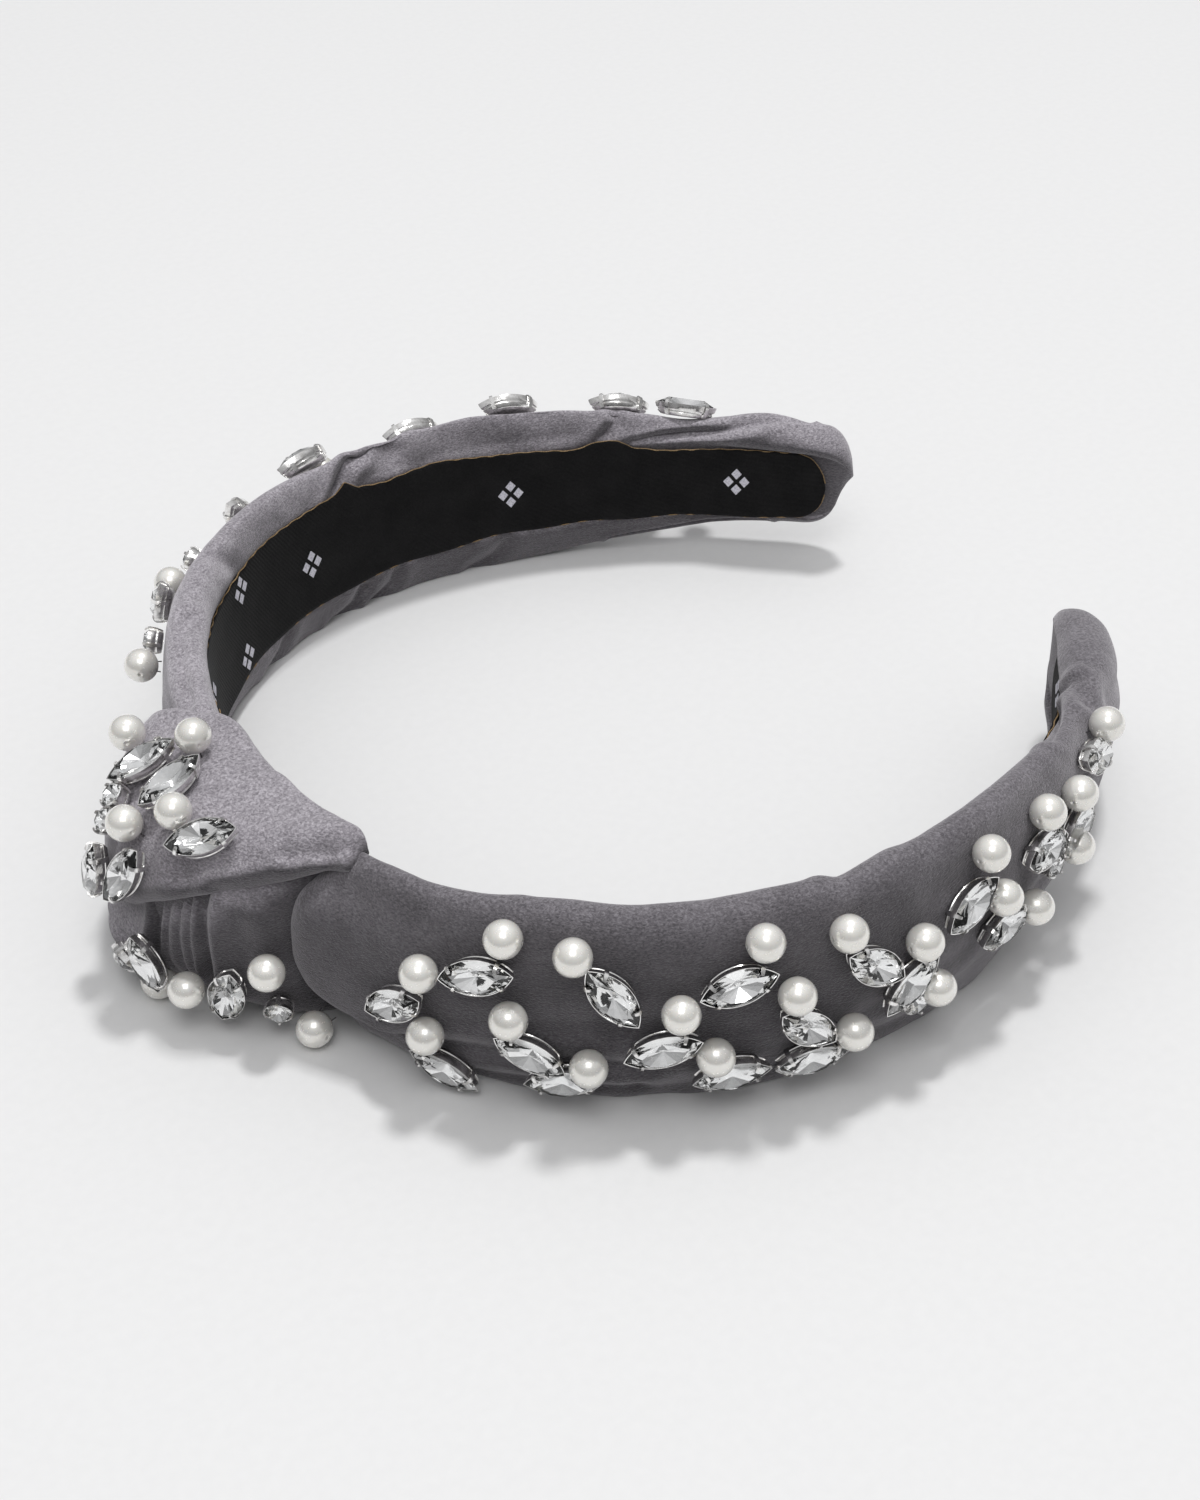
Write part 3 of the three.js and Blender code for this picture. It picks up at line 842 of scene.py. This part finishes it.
# How far the back arm's lining reaches past its plain edge, at its top: its raw edge was cut by hand.
BACK_TOP_EDGE = ((-200, -0.4), (-192, -0.1), (-178, -0.8), (-165, -1.5), (-159, -0.9), (-156, 0.8),
                 (-152, 0.8), (-147, -0.8), (-130, 0.1), (-119, 1.2), (-107, 0.2), (-101, 1.2), (-98, 3.4),
                 (-95.5, 1.4), (-85, 1.0), (-70, 0.4), (-58, -1.0), (-30, -0.4), (10, 0))
LINING_OUT = (-0.05, 0.42)
LINING_END = {"front": ARM_LENGTH - 6.5, "back": ARM_LENGTH - 2.5}


def lining_edge(along, up):
    """Half the lining's width on one side, with its uneven cut and its rounded end."""
    along = np.asarray(along, float)
    half = lining_half(along)
    wave = np.array([noise.noise(Vector((a / 13, 3.1 if up else -4.7, 0))) for a in along.ravel()])
    uneven = 0.9 * wave.reshape(along.shape)
    if up:
        uneven = np.where(along < -20, read_off(along, BACK_TOP_EDGE), uneven)
    end = np.where(along > 0, LINING_END["front"], LINING_END["back"])
    share = np.clip((np.abs(along) - (end - 6)) / 6.0, 0, 1)
    return (half + uneven) * np.sqrt(1 - share ** 2 * 0.999)


def strip_rings(end, edges, outs):
    """Closed rings of a thin strip from the crown to an arm's end, bowed by nothing but the band."""
    along = np.linspace(LAYERS_MIDDLE, end, LAYER_STEPS)
    share = np.linspace(-1, 1, 25)
    upper, lower = edges(along, True), edges(along, False)
    across = np.where(share[None, :] > 0, upper[:, None] * share, lower[:, None] * share)
    across = across + tip_rise(along)[:, None]
    inner = band_point(along[:, None], across, outs[0])
    outer = band_point(along[:, None], across, outs[1])[:, ::-1]
    return np.concatenate([inner, outer], axis=1)


def add_layer(name, side, node, material, edges, outs, end):
    arm = arm_of(side)
    rings = strip_rings(side * end, edges, outs)[:, ::side]
    piece = add_tube(f"{name}_{arm}", rings, material)
    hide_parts(f"{node}_{arm}", f"{node}_crown")
    flex(piece)
    return piece


def plain_edge(along, _up):
    """Half the width of the core and the pad, which end in a round tip."""
    share = np.clip((np.abs(along) - (LAYERS_END - 5)) / 5.2, 0, 1)
    return (lining_half(along) - 0.8) * np.sqrt(1 - share ** 2 * 0.99)


def add_raw_edges(side):
    """The tan cut edge of the lining, where it meets the velvet."""
    arm = arm_of(side)
    along = np.linspace(LAYERS_MIDDLE, side * (LINING_END[arm] - 0.1), RAW_EDGE_STEPS)
    for label, sign in (("upper", 1), ("lower", -1)):
        across = sign * lining_edge(along, sign > 0) + tip_rise(along)
        frayed = 0.16 + 0.12 * np.sin(along * 1.7) + 0.1 * np.sin(along * 0.31)
        path = band_point(along, across, frayed)
        piece = add_cord(f"lining_raw_edge_{arm}_{label}", path, RAW_EDGE_RADIUS, RAW_EDGE)
        flex(piece)


PRINT_STEP = 46
PRINT_FIRST = -180
PRINT_ROW = 7.4  # across, from the middle row to each of its neighbours
PRINT_SIZE = (2.1, 2.5)
PRINT_PLACES = ((1.6, 0), (-1.6, 0), (0, 1.8), (0, -1.8))


def diamond(along, across):
    """A small raised printed lozenge on the lining's face."""
    length, width = PRINT_SIZE
    corners = ((length, 0), (0, width), (-length, 0), (0, -width))
    spots = [(along + a / 2, across + b / 2) for a, b in corners]
    return [band_point(a, b, LINING_OUT[0] + lift) for lift in (-0.06, 0.02) for a, b in spots]


DIAMOND_FACES = ((3, 2, 1, 0), (4, 5, 6, 7), (0, 1, 5, 4), (1, 2, 6, 5), (2, 3, 7, 6), (3, 0, 4, 7))


def add_prints():
    """Scattered marks of four small lozenges each, in two staggered rows."""
    number = 0
    for k in range(9):
        for shift, across in ((0, 0), (PRINT_STEP / 2, PRINT_ROW), (PRINT_STEP / 2, -PRINT_ROW)):
            along = PRINT_FIRST + PRINT_STEP * k + shift
            if abs(along) > ARM_LENGTH - 12 or abs(across) > lining_half(along) - 2.6:
                continue
            points, faces = [], []
            for da, dc in PRINT_PLACES:
                base = len(points)
                points += diamond(along + da, across + dc + tip_rise(along))
                faces += [tuple(base + n for n in face) for face in DIAMOND_FACES]
            number += 1
            piece = add_object(f"lining_print_{number:02d}", to_frame(points), faces, PRINT, False)
            flex(piece)


# Jewels


def outline(length, width, count):
    """Points round a pointed oval, or round a circle where both sizes are equal."""
    if length == width:
        angles = [2 * math.pi * k / count for k in range(count)]
        return np.array([(length / 2 * math.cos(a), width / 2 * math.sin(a)) for a in angles])
    radius = (length ** 2 + width ** 2) / (4 * width)
    half = math.asin(length / 2 / radius)
    points = []
    for side in (1, -1):
        for k in range(count // 2):
            angle = half * (1 - 4 * k / count)
            bow = radius * math.cos(angle) - radius + width / 2
            points.append((side * radius * math.sin(angle), side * bow))
    return np.array(points)


def level(flat, scale, height):
    return [(x * scale, y * scale, height) for x, y in flat]


def stone_mesh(name, size):
    """A faceted stone: a large table, narrow crown facets, and a foiled pavilion of long facets."""
    pointed = size[0] != size[1]
    count = 16 if pointed else 12
    girdle = outline(*size, count)
    few = girdle[::2]
    depth = 1.6 if pointed else 1.2
    top = GIRDLE + (1.3 if pointed else 1.0)
    points = level(girdle, 1, GIRDLE - 0.06) + level(girdle, 1, GIRDLE + 0.06) + level(few, 0.6, top)
    points.append((0, 0, GIRDLE - depth))
    table, point = 2 * count, 2 * count + len(few)
    glass, foil = [], []
    for j in range(count):
        k = (j + 1) % count
        glass.append((j, k, count + k, count + j))
    for j in range(len(few)):
        k = (j + 1) % len(few)
        a, b, c = 2 * j, 2 * j + 1, (2 * j + 2) % count
        glass += [(table + j, count + a, count + b), (table + j, count + b, table + k),
                  (table + k, count + b, count + c)]
        foil += [(point, b, a), (point, c, b)]
    glass.append(tuple(table + j for j in range(len(few))))
    mesh = make_mesh(name, np.array(points) * MM, glass + foil, GLASS, False)
    mesh.materials.append(FOIL)
    mesh.polygons.foreach_set("material_index", [0] * len(glass) + [1] * len(foil))
    return mesh


CUP_PROFILE = ((0.0, 0.70), (0.12, 0.80), (0.75, 0.93), (0.9, 0.90), (1.25, 0.93), (1.4, 0.985),
               (GIRDLE - 0.15, 1.03), (GIRDLE + 0.2, 1.04), (GIRDLE + 0.2, 1.008), (GIRDLE - 0.14, 1.003),
               (0.55, 0.80))
PRONG_PATH = ((0.1, 0.84), (1.2, 1.0), (GIRDLE, 1.08), (GIRDLE + 0.5, 1.05), (GIRDLE + 0.85, 0.92),
              (GIRDLE + 0.95, 0.82))


def cup_mesh(name, size):
    """A claw cup: a stepped wall round the stone and four prongs bent over its crown."""
    count = 40
    flat = outline(*size, count)
    points = [spot for height, scale in CUP_PROFILE for spot in level(flat, scale, height)]
    points += [(0, 0, CUP_PROFILE[0][0]), (0, 0, CUP_PROFILE[-1][0])]
    faces = tube_faces(len(CUP_PROFILE), count)
    pointed = size[0] != size[1]
    shares, half_width = ((0.2, 0.8), 0.42) if pointed else ((0.25, 0.75), 0.36)
    for first in (0, count // 2):
        for share in shares:
            add_prong(points, faces, flat, first + round(share * count / 2), half_width)
    mesh = make_mesh(name, np.array(points) * MM, faces, SILVER)
    mesh.set_sharp_from_angle(angle=math.radians(38))
    return mesh


def add_prong(points, faces, flat, index, half_width):
    """One prong, a flat bar that narrows where it bends over the stone."""
    here = flat[index]
    tangent = unit(flat[(index + 1) % len(flat)] - flat[index - 1])
    outward = np.array([tangent[1], -tangent[0]])
    if outward @ here < 0:
        outward = -outward
    base = len(points)
    for step, (height, scale) in enumerate(PRONG_PATH):
        shrink = 1 - 0.13 * max(0, step - 1)
        thick = 0.16 * shrink
        inward = (1 - scale) * np.linalg.norm(here) * 0.9
        centre = here - outward * inward
        for across, deep in ((-1, 1), (1, 1), (1, -1), (-1, -1)):
            spot = centre + tangent * half_width * shrink * across + outward * thick * deep
            lift = 0.0 if step < 4 else 0.12 * deep
            points.append((spot[0], spot[1], height + lift))
    last = base + (len(PRONG_PATH) - 1) * 4
    for ring in range(base, last, 4):
        for j in range(4):
            k = (j + 1) % 4
            faces.append((ring + j, ring + k, ring + 4 + k, ring + 4 + j))
    faces.append((base + 3, base + 2, base + 1, base))
    faces.append((last, last + 1, last + 2, last + 3))


def pearl_mesh():
    """A bead that is a touch uneven, with a drill hole dimple at each end of its axis."""
    rings, sides = 28, 40
    hole = 0.09  # half its angle
    points = []
    for i in range(rings):
        polar = lerp(hole, math.pi - hole, i / (rings - 1))
        for j in range(sides):
            angle = 2 * math.pi * j / sides
            across = math.sin(polar)
            direction = Vector((math.cos(polar), across * math.cos(angle), across * math.sin(angle)))
            size = PEARL_RADIUS * (1 + 0.006 * noise.noise(direction * 1.7))
            points.append(tuple(direction * size * MM))
    faces = [face[::-1] for face in tube_faces(rings, sides)]
    dimple = PEARL_RADIUS * 0.86 * MM
    points += [(dimple, 0, 0), (-dimple, 0, 0)]
    return make_mesh("pearl_bead", points, faces, PEARL)


MESHES = {
    "stone": (stone_mesh("pointed_stone", STONE_SIZE), cup_mesh("pointed_cup", STONE_SIZE)),
    "small": (stone_mesh("round_stone", SMALL_STONE_SIZE), cup_mesh("round_cup", SMALL_STONE_SIZE)),
}
BEAD = pearl_mesh()


def seat(surface, along, round_, lift):
    """The place over a surface and its directions there, in the band's mm."""
    small = 0.05
    point = surface(along, round_)
    onward = unit(surface(along + small, round_) - point)
    upward = surface(along, round_ - small) - point
    normal = unit(np.cross(onward, upward))
    return point + normal * lift, onward, np.cross(normal, onward), normal


def matrix_of(long, wide, normal, place):
    matrix = Matrix((long, wide, normal)).transposed().to_4x4()
    matrix.translation = Vector(place)
    return matrix


def stone_place(node):
    """A CAD stone's frame, from its shape: 12 long, 6 wide, and narrower at its top than its base."""
    points = np.array([v.co for v in frame["nodes"][node].data.vertices], float)
    _, axes = np.linalg.eigh(np.cov(points.T))
    spans = np.ptp(points @ axes, axis=0)
    order = np.argsort(spans)
    normal, _, long = (axes[:, n] for n in order)
    heights = points @ normal
    middle = (heights.max() + heights.min()) / 2
    upper = np.ptp((points @ long)[heights > middle + 1e-4])
    lower = np.ptp((points @ long)[heights < middle - 1e-4])
    if upper > lower:
        normal, heights = -normal, -heights
    centre = (points.max(axis=0) + points.min(axis=0)) / 2
    base = centre + normal * (heights.min() - centre @ normal)
    return base, long, np.cross(normal, long), normal


def clear_of_floor(place, lowest):
    """The place, raised where the jewel's lowest point would sink into the surface."""
    return Vector(place) + Vector((0, 0, max(0.0, FLOOR_GAP - lowest)))


def add_stone(label, body, kind, place, long, wide, normal, node=None):
    stone, cup = MESHES[kind]
    turned = matrix_of(long, wide, normal, place)
    place = clear_of_floor(place, min((turned @ v.co).z for v in cup.vertices))
    for prefix, mesh, slot in (("crystal", stone, "crystal"), ("cup", cup, "setting")):
        piece = add_copy(f"{prefix}_{label}", mesh)
        piece.matrix_world = matrix_of(long, wide, normal, place)
        if node:
            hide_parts(node)
        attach(piece, body)


def add_pearl(label, body, place, onward, upward, normal, node=None):
    """A bead and the thread that holds it down at both ends."""
    place = clear_of_floor(place, Vector(place).z - PEARL_RADIUS * MM)
    bead = add_copy(f"bead_{label}", BEAD)
    bead.matrix_world = matrix_of(onward, upward, normal, place)
    if node:
        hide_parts(node)
    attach(bead, body)
    shape = [(-a, b) for a, b in reversed(THREAD_PATH)] + list(THREAD_PATH)
    centre = np.array(place) / MM - ORIGIN
    path = [centre + (np.array(onward) * a + np.array(normal) * b) * PEARL_RADIUS for a, b in shape]
    thread = add_cord(f"thread_{label}", path, THREAD_RADIUS, THREAD)
    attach(thread, body)


def knot_seat_surface(along, round_):
    return knot_half(UNDER_LOOP if round_ > 90 else OVER_FOLD, along, round_)


SURFACES = {"front": sleeve_surface, "back": sleeve_surface, "knot": knot_seat_surface}
BODIES = {"front": "front_arm", "back": "back_arm", "knot": "crown"}


def add_cad_jewels():
    """A detailed jewel in the place of each one of the CAD part's."""
    for node in sorted(frame["nodes"]):
        kind, _, label = node.partition("_")
        area = label.split("_")[0]
        if kind == "stone":
            place, long, wide, normal = stone_place(node)
            add_stone(label, BODIES[area], "stone", place, long, wide, normal, node)
        elif kind == "pearl":
            low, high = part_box(node)
            place = np.array((low + high) / 2)
            _, onward, upward, normal = nearest_seat(area, place)
            add_pearl(label, BODIES[area], place, onward, upward, normal, node)


def nearest_seat(area, place):
    """The surface's directions under a place, found on a coarse grid of seats."""
    target = place / MM - ORIGIN
    ends = {"front": (25, 202), "back": (-202, -15), "knot": (-24, 34)}[area]
    along, round_ = np.meshgrid(np.linspace(*ends, 180), np.linspace(0, 180, 91), indexing="ij")
    points = over_surface(along, round_) if area == "knot" else sleeve_surface(along, round_)
    index = np.linalg.norm(points - target, axis=-1).argmin()
    return seat(SURFACES[area], along.flat[index], round_.flat[index], 0)


# More jewels, as (kind, along, round, turn) for stones and (along, round) for pearls.
MORE_STONES = {
    "front": (("stone", 64.5, 124, 10), ("stone", 96.5, 95, -42), ("small", 113.5, 108, -30),
              ("stone", 130.5, 92, 2), ("small", 143, 82, -19), ("stone", 161, 43, -25)),
    "knot": (("small", -4.2, 51, 46), ("small", -2.4, 60, 51), ("small", 22.4, 118, -44),
             ("stone", -1.8, 83, 79), ("stone", 1.0, 119, 40)),
    "back": (("small", -46.5, 62, -30), ("small", -66.5, 50, 10), ("stone", -94, 20, 4),
             ("stone", -136, 24, 6), ("stone", -157, 24, 2), ("stone", -169.5, 12, 0),
             ("stone", -62, 112, -28), ("stone", -76, 92, 24), ("stone", -90, 64, -40),
             ("stone", -92, 118, 8), ("stone", -106, 92, -34), ("stone", -108, 128, 4),
             ("stone", -124, 96, 30), ("small", -128, 64, 0), ("stone", -142, 84, -16),
             ("stone", -158, 74, 14), ("small", -148, 108, 0)),
}
MORE_PEARLS = {
    "front": ((68, 106), (94.5, 72), (116.5, 101), (137.5, 95), (129, 67), (149.5, 86), (166, 31)),
    "knot": ((28, 129), (6.0, 129)),
    "back": ((-60, 54), (-80, 134), (-58, 128), (-72, 74), (-96, 88), (-97, 104), (-112, 104), (-100, 46),
             (-118, 116), (-130, 84), (-138, 68), (-150, 92), (-164, 84), (-174, 70)),
}


def rim_lift(area, along, round_):
    return float(back_rim_height(along, round_)) if area == "back" else 0.0


def add_more_jewels():
    for area, stones in MORE_STONES.items():
        for number, (kind, along, round_, turn) in enumerate(stones, 31):
            lift = STONE_LIFT + rim_lift(area, along, round_)
            place, onward, upward, normal = seat(SURFACES[area], along, round_, lift)
            angle = math.radians(turn)
            long = onward * math.cos(angle) + upward * math.sin(angle)
            label = f"{area}_{number}"
            add_stone(label, BODIES[area], kind, to_frame(place), long, np.cross(normal, long), normal)
    for area, pearls in MORE_PEARLS.items():
        for number, (along, round_) in enumerate(pearls, 31):
            lift = PEARL_LIFT + rim_lift(area, along, round_)
            place, onward, upward, normal = seat(SURFACES[area], along, round_, lift)
            add_pearl(f"{area}_{number}", BODIES[area], to_frame(place), onward, upward, normal)


# Stage, light, camera

CAMERA_TARGET = Vector((-0.00114, -0.01009, 0.0173))
CAMERA_AZIMUTH = -31.83
CAMERA_ELEVATION = 37.03
CAMERA_DISTANCE = 0.4122
CAMERA_ROLL = -0.37
CAMERA_LENS = 57.6


def add_camera():
    azimuth, elevation = math.radians(CAMERA_AZIMUTH), math.radians(CAMERA_ELEVATION)
    back = Vector((math.sin(azimuth) * math.cos(elevation), -math.cos(azimuth) * math.cos(elevation),
                   math.sin(elevation)))
    data = bpy.data.cameras.new("camera")
    data.lens = CAMERA_LENS
    data.sensor_width = 36
    data.clip_start = 0.01
    camera = bpy.data.objects.new("camera", data)
    bpy.context.scene.collection.objects.link(camera)
    turned = (-back).to_track_quat("-Z", "Y").to_matrix()
    camera.matrix_world = (turned @ Matrix.Rotation(math.radians(CAMERA_ROLL), 3, "Z")).to_4x4()
    camera.location = CAMERA_TARGET + back * CAMERA_DISTANCE
    bpy.context.scene.camera = camera


# Square soft lights that face the object: place and side in metres, and power in watts.
LIGHTS = {"key": ((0.5, 0.32, 2.40), 0.28, 25.5), "front_softbox": ((-0.31, -0.50, 1.16), 0.6, 3.1)}


def add_area_light(name, place, side, power):
    data = bpy.data.lights.new(name, "AREA")
    data.size = side
    data.energy = power
    light = bpy.data.objects.new(name, data)
    bpy.context.scene.collection.objects.link(light)
    light.location = place
    light.rotation_euler = (-Vector(place)).to_track_quat("-Z", "Y").to_euler()


def add_stage():
    look = Look("paper_sweep")
    fine = look.grain(look.millimetres(), 2.0, 2)
    colour = look.ramp(fine, (0.3, (0.80, 0.80, 0.80)), (0.7, (0.815, 0.815, 0.815)))
    look.set(Base_Color=colour, Roughness=0.8, Specular_IOR_Level=0.2)
    side = 3.0
    corners = [(-side, -side, 0), (side, -side, 0), (side, side, 0), (-side, side, 0)]
    floor = add_object("floor", corners, [(0, 1, 2, 3)], look.material, False)
    for name, (place, light_side, power) in LIGHTS.items():
        add_area_light(name, place, light_side, power)


SKY_STOPS = ((0.0, 0.35), (0.06, 0.3), (0.35, 0.38), (0.6, 0.62), (0.95, 0.92))
SKY_STRENGTH = 0.77


def add_world():
    """Pale above and darker toward the horizon, as a studio's far walls are."""
    world = bpy.data.worlds.new("studio")
    world.use_nodes = True
    tree = world.node_tree
    background = tree.nodes["Background"]
    direction = tree.nodes.new("ShaderNodeTexCoord").outputs["Generated"]
    split = tree.nodes.new("ShaderNodeSeparateXYZ")
    ramp = tree.nodes.new("ShaderNodeValToRGB")
    tree.links.new(direction, split.inputs["Vector"])
    tree.links.new(split.outputs["Z"], ramp.inputs["Fac"])
    tree.links.new(ramp.outputs["Color"], background.inputs["Color"])
    set_stops(ramp.color_ramp, [(place, (grey, grey, grey * 1.01)) for place, grey in SKY_STOPS])
    background.inputs["Strength"].default_value = SKY_STRENGTH
    bpy.context.scene.world = world
    bpy.context.scene.view_settings.view_transform = "Standard"


add_camera()
add_stage()
add_world()
add_sleeve("front", 1, FRONT_START, FRONT_CREASES, 1)
add_sleeve("back", -1, BACK_START, BACK_CREASES, 4)
add_crown_sleeve()
add_over_fold()
add_under_loop()
for side in (1, -1):
    lining_end = LINING_END[arm_of(side)]
    add_layer("lining_strip", side, "lining", LINING, lining_edge, LINING_OUT, lining_end)
    add_layer("core_strip", side, "core", PLASTIC, plain_edge, CORE_OUT, LAYERS_END)
    foam = add_layer("foam_pad", side, "pad", FOAM, plain_edge, PAD_OUT, LAYERS_END)
    add_raw_edges(side)
add_prints()
add_cad_jewels()
add_more_jewels()
